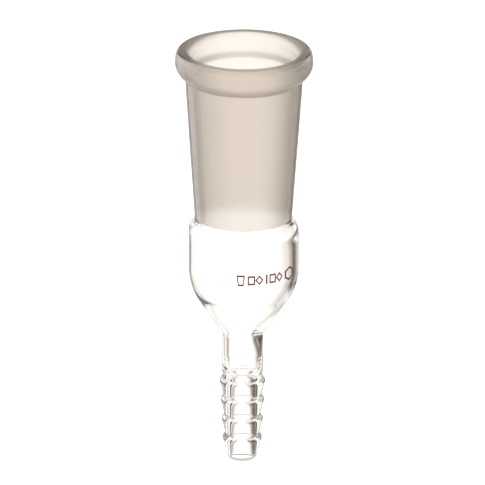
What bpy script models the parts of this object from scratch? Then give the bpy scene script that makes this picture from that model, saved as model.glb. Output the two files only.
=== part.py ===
"""Glass hose adapter: a 24/40 outer ground joint that reduces through a bulb and a neck to a hose barb.

Metres, +Z up. The origin is the centre of the large end of the ground taper, where its bore is 24 mm across.
The socket's mouth opens towards +Z and the hose barb hangs down along -Z.
The glass is one flame-worked wall. Its five worked lengths are separate solids with a small gap between them.
"""

import math

import bpy

COLLECTION = "glass_hose_adapter"
SEGMENTS = 48  # facets round the axis
GAP = 0.0003  # between neighbouring lengths of the wall, and under the enamel

# Ground joint: 24 mm large end, 40 mm long, taper 1 in 10 on the diameter
JOINT_R = 0.012
JOINT_LENGTH = 0.040
JOINT_TAPER = 0.1
JOINT_END_R = JOINT_R - JOINT_TAPER * JOINT_LENGTH / 2
SOCKET_TOP_R = 0.01355  # outer radius of the tube just under the rim bead
SOCKET_END_R = 0.0112  # outer radius at the small end
SOCKET_TOP_Z = -0.0069
SOCKET_END_Z = -JOINT_LENGTH - 0.0004

# Rim bead: a heavy roll, widest in its upper half, with a flat crest, a bevelled lip and a sloping underside
RIM_Z = 0.0004
BEAD_R = 0.0159
BEAD_Z = -0.0023  # height of the widest circle
BEAD_BELLY = 0.0036  # height of the round lower side, were it a whole quarter of an ellipse
BEAD_BELLY_END = -62.0  # degrees, where the sloping underside takes over
BEAD_END_Z = -0.0065  # where the underside meets the tube
CREST_R = 0.0149  # outer radius of the flat crest
LIP_R = 0.0132  # inner radius of the flat crest, where the bevel starts
LIP_Z = -0.0010  # where the bevel runs into the ground taper

# Reducing bulb
BULB_R = 0.0127
BULB_BORE_R = 0.0116
SHOULDER_BEND_R = 0.0036
LOWER_BEND_R = 0.0135
LOWER_BEND_BORE_R = 0.0114
LOWER_BEND_Z = -0.0523
CONE_ANGLE = 33.5  # degrees from the axis
NECK_FILLET_R = 0.0016
NECK_FILLET_BORE_R = 0.0030

# Neck
NECK_R = 0.00474
NECK_BORE_R = 0.00372
NECK_END_Z = -0.0736

# Hose barb: four ridges that shrink towards the tip, each with a rounded shelf above and a cone below
BARB_BORE_R = 0.0025
BARB_BORE_Z = -0.0779  # where the neck's round-bottomed bore has shrunk to the barb's bore
COLLAR_R = 0.00488
COLLAR_Z = -0.0749
RIDGE_COUNT = 4
RIDGE_TOP_Z = -0.08005
RIDGE_PITCH = 0.00468
RIDGE_FIRST_R = 0.0053
RIDGE_LAST_R = 0.0046
RIDGE_ROUND_R = 0.00085
RIDGE_ARC = (80.0, -25.0)  # degrees above and below the ridge's widest circle
TIP_Z = -0.0986
TIP_R = 0.00353
TIP_ROUND_R = 0.0006

# Enamel marks fired on the bulb, in one row
ENAMEL_THICKNESS = 0.0002
ENAMEL_R = BULB_R + GAP
MARK_Z = -0.0511
MARK_STROKE = 0.0005
TAPER_MARK = (0.0013, 0.0019, 0.0026)  # bottom width, top width and height
TAPER_MARK_CENTRE = -3.0  # degrees from -Y towards +X, like the other centres
BAR_MARK_HEIGHT = 0.0023
BAR_MARK_CENTRE = 24.5
POLYGON_MARKS = (  # name, corners, first corner in degrees, width, height and centre
    ("enamel_square_1", 4, 45.0, 0.0017, 0.0022, 8.0),
    ("enamel_diamond_1", 4, 0.0, 0.0020, 0.0024, 16.5),
    ("enamel_square_2", 4, 45.0, 0.0017, 0.0022, 31.5),
    ("enamel_diamond_2", 4, 0.0, 0.0020, 0.0024, 40.0),
    ("enamel_hexagon", 6, 90.0, 0.0032, 0.0034, 55.0),
)


def ellipse_arc(centre, radial, axial, start, end, steps):
    """Points of an elliptical arc in the (r, z) plane, angles in degrees from the outward direction."""
    points = []
    for step in range(steps + 1):
        angle = math.radians(start + (end - start) * step / steps)
        points.append((centre[0] + radial * math.cos(angle), centre[1] + axial * math.sin(angle)))
    return points


def arc(centre, radius, start, end, steps):
    return ellipse_arc(centre, radius, radius, start, end, steps)


def ogee(start, end, steps):
    """Points of an S-shaped step in the bore that leaves both of its ends along the axis."""
    points = []
    for step in range(steps + 1):
        share = step / steps
        rise = (1 - math.cos(math.pi * share)) / 2
        points.append((start[0] + (end[0] - start[0]) * rise, start[1] + (end[1] - start[1]) * share))
    return points


def reducing_cone(bulb_r, bend_r, neck_r, fillet_r, steps):
    """The lower side of the bulb, from top to bottom: a bend, a straight cone and a fillet on the neck."""
    slope = math.radians(CONE_ANGLE)
    bend = arc((bulb_r - bend_r, LOWER_BEND_Z), bend_r, 0.0, -CONE_ANGLE, steps)
    cone_start = bend[-1]
    cone_end_r = neck_r + fillet_r * (1 - math.cos(slope))
    cone_drop = (cone_start[0] - cone_end_r) / math.tan(slope)
    fillet_z = cone_start[1] - cone_drop - fillet_r * math.sin(slope)
    fillet = arc((neck_r + fillet_r, fillet_z), fillet_r, 180 - CONE_ANGLE, 180.0, steps // 2)
    return bend + fillet


def material(name, colour, roughness, transmission=0.0):
    made = bpy.data.materials.new(name)
    made.use_nodes = True
    shader = made.node_tree.nodes["Principled BSDF"]
    shader.inputs["Base Color"].default_value = (*colour, 1.0)
    shader.inputs["Metallic"].default_value = 0.0
    shader.inputs["Roughness"].default_value = roughness
    shader.inputs["IOR"].default_value = 1.473
    shader.inputs["Transmission Weight"].default_value = transmission
    return made


def link(name, mesh, collection, finish):
    made = bpy.data.objects.new(name, mesh)
    collection.objects.link(made)
    mesh.materials.append(finish)
    return made


def turned(name, outer, inner, collection, finish):
    """A solid of revolution. Both outlines run from top to bottom; the outer one comes first."""
    outline = outer + inner[::-1]
    mesh = bpy.data.meshes.new(name)
    vertices = [(r, 0.0, z) for r, z in outline]
    edges = [(index, (index + 1) % len(outline)) for index in range(len(outline))]
    mesh.from_pydata(vertices, edges, [])
    made = link(name, mesh, collection, finish)
    screw = made.modifiers.new("Turn", "SCREW")
    screw.axis = "Z"
    screw.angle = 2 * math.pi
    screw.steps = SEGMENTS
    screw.render_steps = SEGMENTS
    screw.use_merge_vertices = True
    screw.merge_threshold = 0.00001
    screw.use_smooth_shade = True
    return made


def bore_r(z):
    """Radius of the ground taper at height z."""
    return JOINT_R + JOINT_TAPER * z / 2


def rim_bead(collection, finish):
    bottom = SOCKET_TOP_Z + GAP
    upper = ellipse_arc((CREST_R, BEAD_Z), BEAD_R - CREST_R, RIM_Z - BEAD_Z, 90.0, 0.0, 6)
    lower = ellipse_arc((SOCKET_TOP_R, BEAD_Z), BEAD_R - SOCKET_TOP_R, BEAD_BELLY, 0.0, BEAD_BELLY_END, 6)
    outer = upper + lower[1:] + [(SOCKET_TOP_R, BEAD_END_Z), (SOCKET_TOP_R, bottom)]
    inner = [(LIP_R, RIM_Z), (bore_r(LIP_Z), LIP_Z), (bore_r(bottom), bottom)]
    return turned("rim_bead", outer, inner, collection, finish)


def ground_socket(collection, finish):
    outer = [(SOCKET_TOP_R, SOCKET_TOP_Z), (SOCKET_END_R, SOCKET_END_Z)]
    inner = [(bore_r(SOCKET_TOP_Z), SOCKET_TOP_Z), (JOINT_END_R, SOCKET_END_Z)]
    return turned("ground_socket", outer, inner, collection, finish)


def reducing_bulb(collection, finish):
    top = SOCKET_END_Z - GAP
    reach = BULB_R - SHOULDER_BEND_R
    start = math.degrees(math.acos((SOCKET_END_R - reach) / SHOULDER_BEND_R))
    shoulder_z = top - SHOULDER_BEND_R * math.sin(math.radians(start))
    shoulder = arc((reach, shoulder_z), SHOULDER_BEND_R, start, 0.0, 5)
    outer = shoulder + reducing_cone(BULB_R, LOWER_BEND_R, NECK_R, NECK_FILLET_R, 6)
    inner = ogee((JOINT_END_R, top), (BULB_BORE_R, shoulder_z), 6)
    inner += reducing_cone(BULB_BORE_R, LOWER_BEND_BORE_R, NECK_BORE_R, NECK_FILLET_BORE_R, 6)
    bottom = min(outer[-1][1], inner[-1][1])
    outer.append((NECK_R, bottom - GAP))
    inner.append((NECK_BORE_R, bottom - GAP))
    return turned("reducing_bulb", outer, inner, collection, finish)


def neck_tube(top, collection, finish):
    outer = [(NECK_R, top), (NECK_R, NECK_END_Z)]
    inner = [(NECK_BORE_R, top), (NECK_BORE_R, NECK_END_Z)]
    return turned("neck_tube", outer, inner, collection, finish)


def hose_barb(collection, finish):
    top = NECK_END_Z - GAP
    outer = [(NECK_R, top), (COLLAR_R, COLLAR_Z)]
    for ridge in range(RIDGE_COUNT):
        share = ridge / (RIDGE_COUNT - 1)
        ridge_r = RIDGE_FIRST_R + (RIDGE_LAST_R - RIDGE_FIRST_R) * share
        centre = (ridge_r - RIDGE_ROUND_R, RIDGE_TOP_Z - ridge * RIDGE_PITCH)
        outer += arc(centre, RIDGE_ROUND_R, *RIDGE_ARC, 5)
    outer += arc((TIP_R - TIP_ROUND_R, TIP_Z + TIP_ROUND_R), TIP_ROUND_R, 0.0, -90.0, 3)
    step_r = NECK_BORE_R - BARB_BORE_R
    inner = ellipse_arc((BARB_BORE_R, top), step_r, top - BARB_BORE_Z, 0.0, -75.0, 4)
    inner += [(BARB_BORE_R, BARB_BORE_Z - step_r / 2), (BARB_BORE_R, TIP_Z)]
    return turned("hose_barb", outer, inner, collection, finish)


def enamel(name, loops, faces, centre, collection, finish):
    """A thin fired mark wrapped on the bulb. Points are (along, up) from the mark's centre, in metres."""
    mesh = bpy.data.meshes.new(name)
    vertices = []
    for along, up in loops:
        angle = math.radians(centre) + along / BULB_R
        vertices.append((ENAMEL_R * math.sin(angle), -ENAMEL_R * math.cos(angle), MARK_Z + up))
    mesh.from_pydata(vertices, [], faces)
    made = link(name, mesh, collection, finish)
    solidify = made.modifiers.new("Thickness", "SOLIDIFY")
    solidify.thickness = ENAMEL_THICKNESS
    solidify.offset = 1.0
    return made


def polygon(corners, first, width, height):
    """A regular polygon stretched to a width and a height, anticlockwise seen from outside."""
    points = arc((0.0, 0.0), 1.0, first, first + 360.0, corners)[:-1]
    half_width = max(x for x, _ in points)
    half_height = max(z for _, z in points)
    return [(x / half_width * width / 2, z / half_height * height / 2) for x, z in points]


def enamel_outline(name, corners, centre, collection, finish):
    """A closed stroke: the corners are its outer edge and a smaller copy of them is its hole."""
    count = len(corners)
    size = max(math.hypot(*corner) for corner in corners)
    share = 1 - 1.25 * MARK_STROKE / size
    loops = corners + [(along * share, up * share) for along, up in corners]
    faces = []
    for index in range(count):
        after = (index + 1) % count
        faces.append((index, after, count + after, count + index))
    return enamel(name, loops, faces, centre, collection, finish)


def enamel_marks(collection, finish):
    bottom, top, height = (size / 2 for size in TAPER_MARK)
    taper = [(-bottom, -height), (bottom, -height), (top, height), (-top, height)]
    enamel_outline("enamel_taper_outline", taper, TAPER_MARK_CENTRE, collection, finish)
    bar = polygon(4, 225.0, MARK_STROKE, BAR_MARK_HEIGHT)
    enamel("enamel_bar", bar, [(0, 1, 2, 3)], BAR_MARK_CENTRE, collection, finish)
    for name, corners, first, width, height, centre in POLYGON_MARKS:
        enamel_outline(name, polygon(corners, first, width, height), centre, collection, finish)


def main():
    for old in list(bpy.data.objects):
        bpy.data.objects.remove(old, do_unlink=True)
    collection = bpy.data.collections.new(COLLECTION)
    bpy.context.scene.collection.children.link(collection)
    clear = material("clear_glass", (0.96, 0.97, 0.96), 0.02, 1.0)
    ground = material("ground_glass", (0.78, 0.73, 0.68), 0.55, 1.0)
    ink = material("enamel", (0.32, 0.07, 0.06), 0.45)
    rim_bead(collection, ground)
    ground_socket(collection, ground)
    bulb = reducing_bulb(collection, clear)
    bulb_end = min(vertex.co.z for vertex in bulb.data.vertices)
    neck_tube(bulb_end - GAP, collection, clear)
    hose_barb(collection, clear)
    enamel_marks(collection, ink)


main()
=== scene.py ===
"""Looks for the glass hose adapter: a ground-taper socket with a rim bead, a bulb, a neck and a barb.

The glass is one flame-worked wall. One section of it is turned into five named pieces that meet exactly at
their seams, so light passes from one to the next as it does in fused glass.
"""

import math

import bmesh
import bpy
import numpy as np
from mathutils import Matrix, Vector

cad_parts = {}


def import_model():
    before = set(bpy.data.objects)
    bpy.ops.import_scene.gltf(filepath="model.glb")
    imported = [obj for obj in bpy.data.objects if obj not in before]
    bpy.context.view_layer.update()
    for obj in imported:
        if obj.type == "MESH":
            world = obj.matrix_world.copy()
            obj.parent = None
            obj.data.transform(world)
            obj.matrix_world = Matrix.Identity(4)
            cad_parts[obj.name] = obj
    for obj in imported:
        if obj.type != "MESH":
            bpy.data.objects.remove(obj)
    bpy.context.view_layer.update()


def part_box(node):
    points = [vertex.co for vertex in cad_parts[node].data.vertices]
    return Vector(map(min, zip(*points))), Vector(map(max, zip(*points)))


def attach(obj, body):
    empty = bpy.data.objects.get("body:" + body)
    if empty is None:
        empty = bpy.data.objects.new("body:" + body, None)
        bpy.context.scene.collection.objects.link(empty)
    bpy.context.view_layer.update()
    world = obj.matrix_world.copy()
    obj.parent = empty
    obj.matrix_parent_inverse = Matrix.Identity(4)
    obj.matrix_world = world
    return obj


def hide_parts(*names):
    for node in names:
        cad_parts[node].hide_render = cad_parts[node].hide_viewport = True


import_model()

MM = 0.001
TURN_STEPS = 144  # vertices round the axis
FINE_STEP = 0.05 * MM  # spacing of the section before it is thinned out
WIDEST_STEP = 0.9 * MM
TURN_LIMIT = math.radians(2.5)  # the section keeps a point wherever it has turned by this much
SOFTENING = 0.13 * MM  # how far a flame rounds every corner

# Sizes that follow from the CAD pieces
RIM_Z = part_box("rim_bead")[1].z
BEAD_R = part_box("rim_bead")[1].x
SOCKET_TOP_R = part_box("ground_socket")[1].x
SOCKET_TOP_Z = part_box("ground_socket")[1].z
SOCKET_END_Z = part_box("ground_socket")[0].z
BULB_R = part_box("reducing_bulb")[1].x
NECK_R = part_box("neck_tube")[1].x
NECK_END_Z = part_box("neck_tube")[0].z
TIP_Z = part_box("hose_barb")[0].z

# Section of the wall, as in the CAD model
JOINT_R = 12.0 * MM
JOINT_END_R = 10.0 * MM
JOINT_LENGTH = 40.0 * MM
SOCKET_END_R = 11.2 * MM
BEAD_Z = -2.3 * MM  # height of the bead's widest circle
BEAD_BELLY = 3.6 * MM
BEAD_BELLY_END = -62.0
BEAD_END_Z = -6.5 * MM
CREST_R = 14.9 * MM
LIP_R = 13.2 * MM
LIP_Z = -1.0 * MM
BULB_BORE_R = 11.85 * MM
BULB_BORE_TOP_Z = -43.6 * MM
FLARE_START = 0.5  # 0 starts the bore's widening gently, 1 starts it at once
SHOULDER_BEND_R = 3.6 * MM
LOWER_BEND_R = 13.5 * MM
LOWER_BEND_BORE_R = 11.4 * MM
LOWER_BEND_Z = -52.3 * MM
CONE_ANGLE = 33.5
NECK_FILLET_R = 1.6 * MM
NECK_FILLET_BORE_R = 3.0 * MM
NECK_BORE_R = 3.72 * MM
BARB_BORE_R = 2.5 * MM
BARB_BORE_Z = -77.9 * MM
COLLAR_R = 4.88 * MM
COLLAR_Z = -74.9 * MM
RIDGE_COUNT = 4
RIDGE_TOP_Z = -80.05 * MM
RIDGE_PITCH = 4.68 * MM
RIDGE_FIRST_R = 5.3 * MM
RIDGE_LAST_R = 4.6 * MM
RIDGE_ROUND_R = 0.85 * MM
RIDGE_ARC = (80.0, -25.0)
TIP_R = 3.53 * MM
TIP_ROUND_R = 0.6 * MM
TIP_BORE_ROUND = 0.2 * MM
BARB_STEP_END = -75.0  # degrees along the rounded step where the bore narrows into the barb

# Hand-worked glass isn't quite round: height of each wave in mm, waves to a turn, shift, how the shift
# differs on the bore, and the length over which it winds along the axis
WAVES = ((0.022, 2, 0.7, 1.0, 0.021), (0.014, 3, 0.0, 2.1, -0.013), (0.008, 5, 1.3, -1.0, 0.006))
BORE_SHIFT = 1.9
WAVE_FADE = 4.0 * MM  # the waves fade out over this length towards the joint and the rim
JOINT_CALM = 0.6  # share of the waves that the outside of the joint loses; its ground bore loses all
FULL_WAVE_R = 10.0 * MM  # thinner tube has smaller waves
LEAST_WAVE = 0.3

# The bead was rolled by hand: its underside rises towards the back
BEAD_RISE = 0.7 * MM
BEAD_RISE_FROM = (-2.6 * MM, -5.0 * MM)
BEAD_RISE_TO = (-6.7 * MM, -10.0 * MM)

# The blown bulb sits a little off the axis of the joint
BULB_OFFSET = 0.15 * MM
BULB_BORE_OFFSET = -0.10 * MM  # its wall is thinner on the left
BULB_OFFSET_TOP = (-41 * MM, -45 * MM)  # where the offset grows, from top to bottom
BULB_OFFSET_BOTTOM = (-57 * MM, -63 * MM)  # where it fades again

# Glass gathered where the bulb was drawn down to the neck
LUMPS = (  # height, degrees from -Y towards +X, how deep they stand into the bore, and their reach
    (-66.3 * MM, 58.0, 0.35 * MM, 1.6 * MM),
    (-69.0 * MM, 78.0, 0.35 * MM, 1.6 * MM),
)

# Enamel marks fired on the bulb, in one row
MARK_Z = -51.1 * MM
MARK_STROKE = 0.40 * MM
TAPER_MARK = (1.3 * MM, 1.9 * MM, 2.6 * MM)  # bottom width, top width and height
TAPER_MARK_CENTRE = -3.0  # degrees from -Y towards +X, like the other centres
BAR_MARK_HEIGHT = 2.3 * MM
BAR_MARK_CENTRE = 24.5
POLYGON_MARKS = (  # name, corners, first corner in degrees, width, height and centre
    ("enamel_square_1", 4, 45.0, 1.7 * MM, 2.2 * MM, 8.0),
    ("enamel_diamond_1", 4, 0.0, 2.0 * MM, 2.4 * MM, 16.5),
    ("enamel_square_2", 4, 45.0, 1.7 * MM, 2.2 * MM, 31.5),
    ("enamel_diamond_2", 4, 0.0, 2.0 * MM, 2.4 * MM, 40.0),
    ("enamel_hexagon", 6, 90.0, 3.2 * MM, 3.4 * MM, 55.0),
)
OUTLINE_STROKE = 1.25 * MARK_STROKE  # measured at the corners, where it is wider than along the edges
ENAMEL_CLEARANCE = 0.015 * MM
ENAMEL_THICKNESS = 0.06 * MM
EDGE_PARTS = 6  # pieces that each edge of a mark is divided into

# View
CAMERA_ELEVATION = 20.0
CAMERA_DISTANCE = 2.6
CAMERA_ROLL = 0.3  # degrees
AIM_Z = -46.36 * MM
LENS_MM = 839.5
SHIFT_X = -0.0014
FLOOR_SIZE = 12.0
FLOOR_GREY = 0.93
FLOOR_DROP = 0.5 * MM
FLOOR_GLOW = 0.4  # the floor is a light table, so the contact shadow stays faint

# Glass and enamel
IOR = 1.473
# Clear glass is coloured CLEAR_CENTRE head on and darkens to a painted edge shade at glancing angles
CLEAR_CENTRE = (0.985, 0.98, 0.965)
CLEAR_EDGE_SHADE = (0.08, 0.07, 0.055)
EDGE_START = 0.68  # Layer Weight facing, from 0 head on to 1 edge on
EDGE_END = 0.92
# The ground glass colour is painted shade: a warm darkening standing in for the light its frosted walls lose
# to their dim surroundings
GROUND_SHADE_TINT = (0.78, 0.70, 0.62)
# The bead's faint warm tint is painted shade as well, standing in for the warm shade it takes from its
# surroundings
BEAD_SHADE_TINT = (0.97, 0.94, 0.90)
CLEAR_ROUGHNESS = (0.0, 0.02)
BEAD_ROUGHNESS = (0.12, 0.30)
GROUND_ROUGHNESS = (0.48, 0.60)
ENAMEL_ROUGHNESS = (0.35, 0.6)
ENAMEL_DARK = (0.07, 0.008, 0.007)
ENAMEL_LIGHT = (0.16, 0.02, 0.016)

# Light
LIGHT_BOUNCES = 24
GLOSSY_BOUNCES = 12
WHITE = 1.4  # background brightness, where 1 is paper white
TENT_R = 2.0
TENT_TOP = 70.0  # degrees above the horizontal, seen from the object
TENT_BOTTOM = -55.0
TENT_BOTTOM_SHARE = 0.6
ROOM_SHARE = 0.08
TENT_SHADE = (1.0, 0.84, 0.68)  # colour of the darkest cloth
FLAG_BAND = (-37.0, -29.0, -3.0, 5.0)  # elevations where the flags fade in, are full, and fade out
FLAG_FOOT = 0.45  # strength of the flags below that band
ROOM_EDGE = (4.0, 22.0)  # elevations between which the white backdrop gives way to the dark room
FLAGS = (  # azimuth in degrees from +Y towards +X, and brightness inside the band as a share of WHITE
    (-180, 0.5), (-118, 0.5), (-106, 0.75), (-84, 0.75), (-78, 0.12), (-62, 0.12), (-56, 0.75), (-38, 0.8),
    (-33, 0.3), (-22, 0.4), (-14, 0.8), (-8, 1.0), (2, 1.0), (8, 0.86), (14, 0.7), (20, 0.42), (26, 0.16),
    (31, 0.03), (38, 0.06), (45, 0.24), (55, 0.22), (62, 0.04), (80, 0.03), (92, 0.3), (110, 0.6),
    (118, 0.92), (154, 0.92), (165, 0.5),
)


# ---------------------------------------------------------------- section of the glass wall


def ellipse_arc(centre, radial, axial, start, end, steps=24):
    angles = np.radians(np.linspace(start, end, steps + 1))
    return [(centre[0] + radial * math.cos(a), centre[1] + axial * math.sin(a)) for a in angles]


def arc(centre, radius, start, end, steps=24):
    return ellipse_arc(centre, radius, radius, start, end, steps)


def bore_r(z):
    return JOINT_R + (JOINT_R - JOINT_END_R) / JOINT_LENGTH * z


def flare(start, end, steps=24):
    """The widening of the bore below the ground taper. It ends along the axis."""
    share = np.linspace(0, 1, steps + 1)
    slow_start = (1 - np.cos(math.pi * share)) / 2
    fast_start = 1 - (1 - share) ** 2
    grown = slow_start + (fast_start - slow_start) * FLARE_START
    return list(zip(start[0] + (end[0] - start[0]) * grown, start[1] + (end[1] - start[1]) * share))


def reducing_cone(bulb_r, bend_r, neck_r, fillet_r):
    slope = math.radians(CONE_ANGLE)
    bend = arc((bulb_r - bend_r, LOWER_BEND_Z), bend_r, 0.0, -CONE_ANGLE)
    cone_end_r = neck_r + fillet_r * (1 - math.cos(slope))
    cone_drop = (bend[-1][0] - cone_end_r) / math.tan(slope)
    fillet_z = bend[-1][1] - cone_drop - fillet_r * math.sin(slope)
    return bend + arc((neck_r + fillet_r, fillet_z), fillet_r, 180 - CONE_ANGLE, 180.0)


def shoulder():
    """The bend at the top of the bulb."""
    reach = BULB_R - SHOULDER_BEND_R
    start = math.degrees(math.acos((SOCKET_END_R - reach) / SHOULDER_BEND_R))
    z = SOCKET_END_Z - SHOULDER_BEND_R * math.sin(math.radians(start))
    return arc((reach, z), SHOULDER_BEND_R, start, 0.0)


def outer_outline():
    """From the outer edge of the flat crest down to the tip."""
    points = ellipse_arc((CREST_R, BEAD_Z), BEAD_R - CREST_R, RIM_Z - BEAD_Z, 90.0, 0.0)
    points += ellipse_arc((SOCKET_TOP_R, BEAD_Z), BEAD_R - SOCKET_TOP_R, BEAD_BELLY, 0.0, BEAD_BELLY_END)
    points += [(SOCKET_TOP_R, BEAD_END_Z), (SOCKET_TOP_R, SOCKET_TOP_Z)]
    points += shoulder()
    points += reducing_cone(BULB_R, LOWER_BEND_R, NECK_R, NECK_FILLET_R)
    points += [(NECK_R, NECK_END_Z), (COLLAR_R, COLLAR_Z)]
    for ridge in range(RIDGE_COUNT):
        share = ridge / (RIDGE_COUNT - 1)
        ridge_r = RIDGE_FIRST_R + (RIDGE_LAST_R - RIDGE_FIRST_R) * share
        centre = (ridge_r - RIDGE_ROUND_R, RIDGE_TOP_Z - ridge * RIDGE_PITCH)
        points += arc(centre, RIDGE_ROUND_R, *RIDGE_ARC)
    return points + arc((TIP_R - TIP_ROUND_R, TIP_Z + TIP_ROUND_R), TIP_ROUND_R, 0.0, -90.0)


def bore_outline():
    """From the inner edge of the flat crest down the inside to the tip."""
    points = [(LIP_R, RIM_Z), (bore_r(LIP_Z), LIP_Z)]
    points += flare((JOINT_END_R, SOCKET_END_Z), (BULB_BORE_R, BULB_BORE_TOP_Z))
    points += reducing_cone(BULB_BORE_R, LOWER_BEND_BORE_R, NECK_BORE_R, NECK_FILLET_BORE_R)
    drop = NECK_END_Z - BARB_BORE_Z
    step_r = NECK_BORE_R - BARB_BORE_R
    points += ellipse_arc((BARB_BORE_R, NECK_END_Z), step_r, drop, 0.0, BARB_STEP_END)
    points += [(BARB_BORE_R, BARB_BORE_Z - step_r / 2), (BARB_BORE_R, TIP_Z + TIP_BORE_ROUND)]
    return points + [(BARB_BORE_R + TIP_BORE_ROUND, TIP_Z)]


def resampled(points, step):
    """The closed outline as evenly spaced points."""
    closed = np.vstack([points, points[:1]])
    length = np.concatenate([[0.0], np.cumsum(np.hypot(*np.diff(closed, axis=0).T))])
    places = np.linspace(0.0, length[-1], int(length[-1] / step), endpoint=False)
    return np.column_stack([np.interp(places, length, closed[:, axis]) for axis in (0, 1)])


def softened(points):
    """Every corner rounded as a flame does, by a Gaussian mean along the closed outline."""
    reach = int(4 * SOFTENING / FINE_STEP)
    weights = np.exp(-0.5 * (np.arange(-reach, reach + 1) * FINE_STEP / SOFTENING) ** 2)
    weights /= weights.sum()
    around = np.vstack([points[-reach:], points, points[:reach]])
    return np.column_stack([np.convolve(around[:, axis], weights, "valid") for axis in (0, 1)])


def thinned(points, seams):
    """Fewer points where the outline is straight, and one on each seam on both sides of the wall."""
    ahead = np.roll(points, -1, axis=0)
    heading = np.unwrap(np.arctan2(*(ahead - points).T[::-1]))
    kept = [points[0]]
    last = 0
    for index in range(1, len(points)):
        before, here = points[index - 1], points[index]
        for seam in seams:
            if (before[1] - seam) * (here[1] - seam) < 0:
                share = (seam - before[1]) / (here[1] - before[1])
                kept.append(before + (here - before) * share)
                kept[-1][1] = seam
                last = index
        far = np.hypot(*(here - kept[-1])) > WIDEST_STEP
        if far or abs(heading[index] - heading[last]) > TURN_LIMIT:
            kept.append(here)
            last = index
    return np.array(kept)


def seam_between(upper, lower):
    return round((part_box(upper)[0].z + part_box(lower)[1].z) / 2, 6)


# ---------------------------------------------------------------- turning the section


def wobble(angle, z, outside):
    """How far the wall strays from round, in metres."""
    phase = np.where(outside, 0.0, BORE_SHIFT)
    waves = sum(height * np.sin(count * angle + shift + follow * phase + z / length)
                for height, count, shift, follow, length in WAVES)
    in_joint = np.clip((z + JOINT_LENGTH + WAVE_FADE) / WAVE_FADE, 0, 1)
    strength = np.where(outside, 1 - JOINT_CALM * in_joint, 1 - in_joint)
    return waves * MM * strength * np.clip(np.abs(z - RIM_Z) / WAVE_FADE, 0, 1)


def smooth_step(value, start, end):
    share = np.clip((value - start) / (end - start), 0, 1)
    return share * share * (3 - 2 * share)


def bulb_share(z):
    """How much of the bulb's offset there is at height z."""
    return smooth_step(z, *BULB_OFFSET_TOP) * (1 - smooth_step(z, *BULB_OFFSET_BOTTOM))


def lumps(angle, z, radius):
    """How far the bore stands in at the lumps."""
    depth = 0.0
    for centre_z, degrees, height, reach in LUMPS:
        turn = np.angle(np.exp(1j * (angle - math.radians(degrees))))
        depth = depth + height * np.exp(-0.5 * ((z - centre_z) ** 2 + (turn * radius) ** 2) / reach ** 2)
    return depth


def turned_grid(section, outer_rows):
    """Positions and unit normals, as arrays of rows by steps round the axis."""
    angle = np.linspace(0, 2 * math.pi, TURN_STEPS, endpoint=False)[None, :]
    radius = section[:, :1] * np.ones_like(angle)
    height = section[:, 1:] * np.ones_like(angle)
    outside = (np.arange(len(section)) < outer_rows)[:, None]
    radius = radius + wobble(angle, height, outside) * np.clip(radius / FULL_WAVE_R, LEAST_WAVE, 1)
    radius = radius - np.where(outside, 0.0, lumps(angle, height, radius))
    offset = np.where(outside, BULB_OFFSET, BULB_BORE_OFFSET) * bulb_share(height)
    rise = smooth_step(height, *BEAD_RISE_FROM) * (1 - smooth_step(height, *BEAD_RISE_TO)) * outside
    height = height + BEAD_RISE * rise * (1 - np.cos(angle)) / 2
    grid = np.stack([radius * np.sin(angle) + offset, -radius * np.cos(angle), height], axis=-1)
    down = np.roll(grid, -1, axis=0) - np.roll(grid, 1, axis=0)
    around = np.roll(grid, -1, axis=1) - np.roll(grid, 1, axis=1)
    normal = np.cross(down, around)
    normal /= np.linalg.norm(normal, axis=-1, keepdims=True)
    return grid, normal


def glass_piece(name, node, grid, normal, rows, band_slots, materials):
    """One closed piece of the wall. rows run once round its section, band_slots give each band's material."""
    count = len(rows)
    points = grid[rows].reshape(-1, 3)
    faces, slots, normals = [], [], []
    row_normal = normal[rows]
    for band, band_slot in enumerate(band_slots):
        after = (band + 1) % count
        for step in range(TURN_STEPS):
            side = (step + 1) % TURN_STEPS
            corners = ((band, step), (after, step), (after, side), (band, side))
            faces.append([row * TURN_STEPS + column for row, column in corners])
            slots.append(band_slot)
            if band_slot == SEAM:
                edge_z = grid[rows[band], 0, 2]
                flat = (0.0, 0.0, 1.0 if edge_z > grid[rows, 0, 2].mean() else -1.0)
                normals.extend([flat] * 4)
            else:
                normals.extend(row_normal[row, column] for row, column in corners)
    mesh = bpy.data.meshes.new(name)
    mesh.from_pydata(points.tolist(), [], faces)
    for finish in materials:
        mesh.materials.append(finish)
    mesh.polygons.foreach_set("material_index", slots)
    mesh.polygons.foreach_set("use_smooth", [True] * len(faces))
    mesh.normals_split_custom_set([tuple(n) for n in normals])
    mesh.update()
    piece = bpy.data.objects.new(name, mesh)
    bpy.context.scene.collection.objects.link(piece)
    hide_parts(node)
    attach(piece, "root")
    return piece


# ---------------------------------------------------------------- materials


def new_material(name):
    made = bpy.data.materials.new(name)
    made.use_nodes = True
    tree = made.node_tree
    return made, tree, tree.nodes["Principled BSDF"]


def noise(tree, scale, detail, stretch=(1, 1, 1)):
    """A noise over the object's own coordinates."""
    place = tree.nodes.new("ShaderNodeTexCoord")
    mapping = tree.nodes.new("ShaderNodeMapping")
    mapping.inputs["Scale"].default_value = stretch
    texture = tree.nodes.new("ShaderNodeTexNoise")
    texture.inputs["Scale"].default_value = scale
    texture.inputs["Detail"].default_value = detail
    tree.links.new(place.outputs["Object"], mapping.inputs["Vector"])
    tree.links.new(mapping.outputs["Vector"], texture.inputs["Vector"])
    return texture.outputs["Fac"]


def remap(tree, source, low, high):
    ramp = tree.nodes.new("ShaderNodeMapRange")
    ramp.inputs["To Min"].default_value = low
    ramp.inputs["To Max"].default_value = high
    tree.links.new(source, ramp.inputs["Value"])
    return ramp.outputs["Result"]


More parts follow.
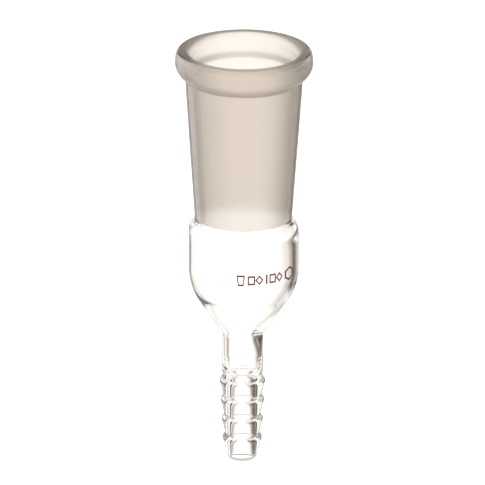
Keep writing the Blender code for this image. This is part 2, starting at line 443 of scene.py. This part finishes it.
def mix(tree, factor, first, second):
    made = tree.nodes.new("ShaderNodeMix")
    made.data_type = "RGBA"
    tree.links.new(factor, made.inputs["Factor"])
    for name, colour in (("A", first), ("B", second)):
        if isinstance(colour, bpy.types.NodeSocket):
            tree.links.new(colour, made.inputs[name])
        else:
            made.inputs[name].default_value = (*colour, 1)
    return made.outputs["Result"]


def bump(tree, source, strength, distance, onto):
    made = tree.nodes.new("ShaderNodeBump")
    made.inputs["Strength"].default_value = strength
    made.inputs["Distance"].default_value = distance
    tree.links.new(source, made.inputs["Height"])
    tree.links.new(made.outputs["Normal"], onto.inputs["Normal"])


def painted_edge_shade(tree, centre, edge, shader):
    """Painted shade on clear glass: its colour darkens where the surface turns away from the eye, standing in
    for the dark edges that refraction gives it.
    """
    facing = tree.nodes.new("ShaderNodeLayerWeight")
    facing.inputs["Blend"].default_value = 0.5
    ramp = tree.nodes.new("ShaderNodeValToRGB")
    first, last = ramp.color_ramp.elements
    first.position, first.color = EDGE_START, (*centre, 1)
    last.position, last.color = EDGE_END, (*edge, 1)
    tree.links.new(facing.outputs["Facing"], ramp.inputs["Fac"])
    tree.links.new(ramp.outputs["Color"], shader.inputs["Base Color"])


def new_glass(name):
    made, tree, shader = new_material(name)
    shader.inputs["IOR"].default_value = IOR
    shader.inputs["Transmission Weight"].default_value = 1.0
    return made, tree, shader


def clear_glass():
    made, tree, shader = new_glass("clear_borosilicate")
    # painted shade darkens the clear glass towards its edges
    painted_edge_shade(tree, CLEAR_CENTRE, CLEAR_EDGE_SHADE, shader)
    tree.links.new(remap(tree, noise(tree, 900, 3), *CLEAR_ROUGHNESS), shader.inputs["Roughness"])
    bump(tree, noise(tree, 260, 2, (1, 1, 0.25)), 0.03, 0.0004, shader)
    return made


def bead_glass():
    """Thick glass rolled in the flame: its skin is slightly rippled and dull."""
    made, tree, shader = new_glass("fire_polished_borosilicate")
    # faint painted warm shade on the bead glass
    shader.inputs["Base Color"].default_value = (*BEAD_SHADE_TINT, 1)
    tree.links.new(remap(tree, noise(tree, 800, 4), *BEAD_ROUGHNESS), shader.inputs["Roughness"])
    bump(tree, noise(tree, 420, 3, (1, 1, 2)), 0.06, 0.0004, shader)
    return made


def ground_glass():
    made, tree, shader = new_glass("ground_borosilicate")
    # painted warm shade on the ground glass
    shader.inputs["Base Color"].default_value = (*GROUND_SHADE_TINT, 1)
    patches = noise(tree, 700, 4, (1, 1, 0.4))
    tree.links.new(remap(tree, patches, *GROUND_ROUGHNESS), shader.inputs["Roughness"])
    bump(tree, noise(tree, 5200, 4, (1, 1, 2.5)), 0.25, 0.00004, shader)
    return made


def seam_glass():
    """The plane inside fused glass where two pieces meet. It can't be seen."""
    made, _, shader = new_material("fused_seam")
    shader.inputs["Alpha"].default_value = 0.0
    return made


def enamel_ink():
    made, tree, shader = new_material("fired_enamel")
    colour = mix(tree, noise(tree, 2600, 4), ENAMEL_DARK, ENAMEL_LIGHT)
    tree.links.new(colour, shader.inputs["Base Color"])
    tree.links.new(remap(tree, noise(tree, 1800, 3), *ENAMEL_ROUGHNESS), shader.inputs["Roughness"])
    bump(tree, noise(tree, 4200, 3), 0.3, 0.00002, shader)
    return made


# ---------------------------------------------------------------- enamel marks


def enamel_piece(name, loops, faces, centre, ink):
    """A thin film on the bulb. Points are (along, up) from its centre."""
    inner = BULB_R + ENAMEL_CLEARANCE
    vertices = []
    for along, up in loops:
        angle = math.radians(centre) + along / BULB_R
        z = MARK_Z + up
        vertices.append((inner * math.sin(angle) + BULB_OFFSET, -inner * math.cos(angle), z))
    mesh = bpy.data.meshes.new(name)
    mesh.from_pydata(vertices, [], faces)
    mesh.materials.append(ink)
    piece = bpy.data.objects.new(name + "_print", mesh)
    bpy.context.scene.collection.objects.link(piece)
    film = piece.modifiers.new("Film", "SOLIDIFY")
    film.thickness = ENAMEL_THICKNESS
    film.offset = 1.0
    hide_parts(name)
    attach(piece, "root")


def polygon(corners, first, width, height):
    """A regular polygon stretched to a width and a height, anticlockwise seen from outside."""
    points = arc((0.0, 0.0), 1.0, first, first + 360.0, corners)[:-1]
    half_width = max(x for x, _ in points)
    half_height = max(z for _, z in points)
    return [(x / half_width * width / 2, z / half_height * height / 2) for x, z in points]


def along_edges(corners, parts):
    """The polygon with each edge divided, so that it can follow the bulb."""
    points = []
    for start, end in zip(corners, corners[1:] + corners[:1]):
        for part in range(parts):
            share = part / parts
            points.append(tuple(a + (b - a) * share for a, b in zip(start, end)))
    return points


def enamel_outline(name, corners, centre, ink):
    """A closed stroke: the corners are its outer edge and a smaller copy of them is its hole."""
    size = max(math.hypot(*corner) for corner in corners)
    share = 1 - OUTLINE_STROKE / size
    hole = [(along * share, up * share) for along, up in corners]
    outer, inner = along_edges(corners, EDGE_PARTS), along_edges(hole, EDGE_PARTS)
    count = len(outer)
    faces = [(i, (i + 1) % count, count + (i + 1) % count, count + i) for i in range(count)]
    enamel_piece(name, outer + inner, faces, centre, ink)


def enamel_marks(ink):
    bottom, top, height = (size / 2 for size in TAPER_MARK)
    taper = [(-bottom, -height), (bottom, -height), (top, height), (-top, height)]
    enamel_outline("enamel_taper_outline", taper, TAPER_MARK_CENTRE, ink)
    bar = along_edges(polygon(4, 225.0, MARK_STROKE, BAR_MARK_HEIGHT), EDGE_PARTS)
    enamel_piece("enamel_bar", bar, [tuple(range(len(bar)))], BAR_MARK_CENTRE, ink)
    for name, corners, first, width, height, centre in POLYGON_MARKS:
        enamel_outline(name, polygon(corners, first, width, height), centre, ink)


# ---------------------------------------------------------------- the glass

CLEAR, GROUND, SEAM, BEAD = 0, 1, 2, 3
PIECES = (
    ("rim_bead", "fire_polished_glass"),
    ("ground_socket", "ground_glass"),
    ("reducing_bulb", "clear_glass"),
    ("neck_tube", "clear_glass"),
    ("hose_barb", "clear_glass"),
)


def build_glass():
    names = [name for name, _ in PIECES]
    seams = [seam_between(upper, lower) for upper, lower in zip(names, names[1:])]
    outline = np.array(outer_outline() + bore_outline()[::-1])
    section = thinned(softened(resampled(outline, FINE_STEP)), seams + [-JOINT_LENGTH])
    crest_row = int(np.argmin(np.hypot(*(section - (CREST_R, RIM_Z)).T)))
    section = np.roll(section, -crest_row, axis=0)
    tip_row = int(np.argmin(section[:, 1]))
    grid, normal = turned_grid(section, tip_row)
    rows = np.arange(len(section))
    height = section[:, 1]
    materials = [clear_glass(), ground_glass(), seam_glass(), bead_glass()]
    tops = [None] + seams
    bottoms = seams + [None]
    for (name, slot), top, bottom in zip(PIECES, tops, bottoms):
        below = height <= (top if top is not None else math.inf)
        above = height >= (bottom if bottom is not None else -math.inf)
        inside = below & above
        outer = rows[inside & (rows <= tip_row)]
        bore = rows[inside & (rows > tip_row)]
        loop = np.concatenate([outer, bore])
        slots = []
        for here, after in zip(loop, np.roll(loop, -1)):
            middle = (height[here] + height[after]) / 2
            on_bore = here > tip_row
            neighbours = after == (here + 1) % len(rows)
            ground = on_bore and middle > -JOINT_LENGTH
            skin = BEAD if middle > BEAD_END_Z else CLEAR
            slots.append(SEAM if not neighbours else GROUND if ground else skin)
        glass_piece(name + "_glass", name, grid, normal, loop, slots, materials)


# ---------------------------------------------------------------- studio


def floor():
    made, _, shader = new_material("pale_floor")
    shader.inputs["Base Color"].default_value = (FLOOR_GREY, FLOOR_GREY, FLOOR_GREY, 1)
    shader.inputs["Roughness"].default_value = 0.9
    shader.inputs["Specular IOR Level"].default_value = 0.0
    shader.inputs["Emission Color"].default_value = (1.0, 1.0, 1.0, 1)
    shader.inputs["Emission Strength"].default_value = FLOOR_GLOW
    bpy.ops.mesh.primitive_plane_add(size=FLOOR_SIZE, location=(0, 0, TIP_Z - FLOOR_DROP))
    plane = bpy.context.object
    plane.name = "floor"
    plane.data.materials.append(made)
    plane.visible_transmission = False
    plane.visible_glossy = False


def tent_shade(share):
    return tuple(share * (shade + (1 - shade) * share) for shade in TENT_SHADE)


def emission(name):
    made = bpy.data.materials.new(name)
    made.use_nodes = True
    tree = made.node_tree
    tree.nodes.clear()
    light = tree.nodes.new("ShaderNodeEmission")
    light.inputs["Strength"].default_value = WHITE
    output = tree.nodes.new("ShaderNodeOutputMaterial")
    tree.links.new(light.outputs["Emission"], output.inputs["Surface"])
    return made, tree, light


def math_node(tree, operation, *values):
    made = tree.nodes.new("ShaderNodeMath")
    made.operation = operation
    for socket, value in zip(made.inputs, values):
        if isinstance(value, bpy.types.NodeSocket):
            tree.links.new(value, socket)
        else:
            socket.default_value = value
    return made.outputs["Value"]


def fade(tree, source, start, end, low=0.0):
    """The low value before start and 1 after end, both in degrees; the source is in radians."""
    made = tree.nodes.new("ShaderNodeMapRange")
    made.interpolation_type = "SMOOTHSTEP"
    made.inputs["From Min"].default_value = math.radians(start)
    made.inputs["From Max"].default_value = math.radians(end)
    made.inputs["To Min"].default_value = low
    tree.links.new(source, made.inputs["Value"])
    return made.outputs["Result"]


def tent_wall_light():
    """White cloth, with flags in a band below the horizon and a dim room above it."""
    made, tree, light = emission("tent_wall_light")
    place = tree.nodes.new("ShaderNodeTexCoord")
    split = tree.nodes.new("ShaderNodeSeparateXYZ")
    tree.links.new(place.outputs["Object"], split.inputs["Vector"])
    azimuth = math_node(tree, "ARCTAN2", split.outputs["X"], split.outputs["Y"])
    elevation = math_node(tree, "ARCTAN2", split.outputs["Z"], TENT_R)
    turn = tree.nodes.new("ShaderNodeMapRange")
    turn.inputs["From Min"].default_value = -math.pi
    turn.inputs["From Max"].default_value = math.pi
    tree.links.new(azimuth, turn.inputs["Value"])
    ramp = tree.nodes.new("ShaderNodeValToRGB")
    tree.links.new(turn.outputs["Result"], ramp.inputs["Fac"])
    stops = ramp.color_ramp.elements
    stops.remove(stops[1])
    for index, (degrees, share) in enumerate(FLAGS):
        stop = stops[0] if index == 0 else stops.new(degrees / 360 + 0.5)
        stop.position = degrees / 360 + 0.5
        stop.color = (*tent_shade(share), 1)
    flags_in = fade(tree, elevation, *FLAG_BAND[:2], FLAG_FOOT)
    flags_out = fade(tree, elevation, *FLAG_BAND[2:])
    band = math_node(tree, "SUBTRACT", flags_in, flags_out)
    wall = mix(tree, band, (1.0, 1.0, 1.0), ramp.outputs["Color"])
    wall = mix(tree, fade(tree, elevation, *ROOM_EDGE), wall, tent_shade(ROOM_SHARE))
    tree.links.new(wall, light.inputs["Color"])
    return made


def tent_end_light(name, share):
    made, _, light = emission(name)
    light.inputs["Color"].default_value = (*tent_shade(share), 1)
    return made


def tent_part(made, finish):
    """Makes the object a part of the tent, which only the glass sees."""
    made.data.materials.append(finish)
    made.visible_camera = False
    made.visible_diffuse = False
    made.visible_shadow = False


def tent_height(elevation):
    """Height on the tent's wall, above the object's middle, that is seen at that elevation in degrees."""
    return TENT_R * math.tan(math.radians(elevation))


def tent_wall():
    """An open cylinder, with its own origin at the height of the object's middle."""
    mesh = bpy.data.meshes.new("tent_wall")
    shape = bmesh.new()
    rings = []
    for z in (tent_height(TENT_BOTTOM), tent_height(TENT_TOP)):
        rings.append([shape.verts.new((TENT_R * math.cos(a), TENT_R * math.sin(a), z))
                      for a in np.linspace(0, 2 * math.pi, TURN_STEPS, endpoint=False)])
    low_ring, high_ring = rings
    for corners in zip(low_ring, high_ring, np.roll(high_ring, -1), np.roll(low_ring, -1)):
        shape.faces.new(corners)
    shape.to_mesh(mesh)
    shape.free()
    made = bpy.data.objects.new("tent_wall", mesh)
    made.location.z = AIM_Z
    bpy.context.scene.collection.objects.link(made)
    return made


def tent():
    """White cloth with dark flags round the object, closed by a duller disc below and the dim room above."""
    tent_part(tent_wall(), tent_wall_light())
    ends = (("tent_bottom", TENT_BOTTOM, TENT_BOTTOM_SHARE), ("tent_top", TENT_TOP, ROOM_SHARE))
    for name, elevation, share in ends:
        place = (0, 0, AIM_Z + tent_height(elevation))
        bpy.ops.mesh.primitive_circle_add(
            vertices=TURN_STEPS, radius=TENT_R, fill_type="NGON", location=place)
        tent_part(bpy.context.object, tent_end_light(name, share))


def world():
    made = bpy.data.worlds.new("studio")
    bpy.context.scene.world = made
    made.use_nodes = True
    background = made.node_tree.nodes["Background"]
    background.inputs["Color"].default_value = (1.0, 1.0, 1.0, 1)
    background.inputs["Strength"].default_value = WHITE


def camera():
    data = bpy.data.cameras.new("camera")
    data.lens = LENS_MM
    data.shift_x = SHIFT_X
    data.clip_end = 100
    made = bpy.data.objects.new("camera", data)
    bpy.context.scene.collection.objects.link(made)
    elevation = math.radians(CAMERA_ELEVATION)
    made.location = (0, -CAMERA_DISTANCE * math.cos(elevation), AIM_Z + CAMERA_DISTANCE * math.sin(elevation))
    tilt = Matrix.Rotation(math.pi / 2 - elevation, 3, "X")
    roll = Matrix.Rotation(math.radians(CAMERA_ROLL), 3, "Z")
    made.rotation_euler = (tilt @ roll).to_euler()
    bpy.context.scene.camera = made


def studio():
    world()
    floor()
    tent()
    camera()
    scene = bpy.context.scene
    scene.view_settings.view_transform = "Standard"
    scene.cycles.max_bounces = LIGHT_BOUNCES
    scene.cycles.transmission_bounces = LIGHT_BOUNCES
    scene.cycles.transparent_max_bounces = LIGHT_BOUNCES
    scene.cycles.glossy_bounces = GLOSSY_BOUNCES


build_glass()
enamel_marks(enamel_ink())
studio()
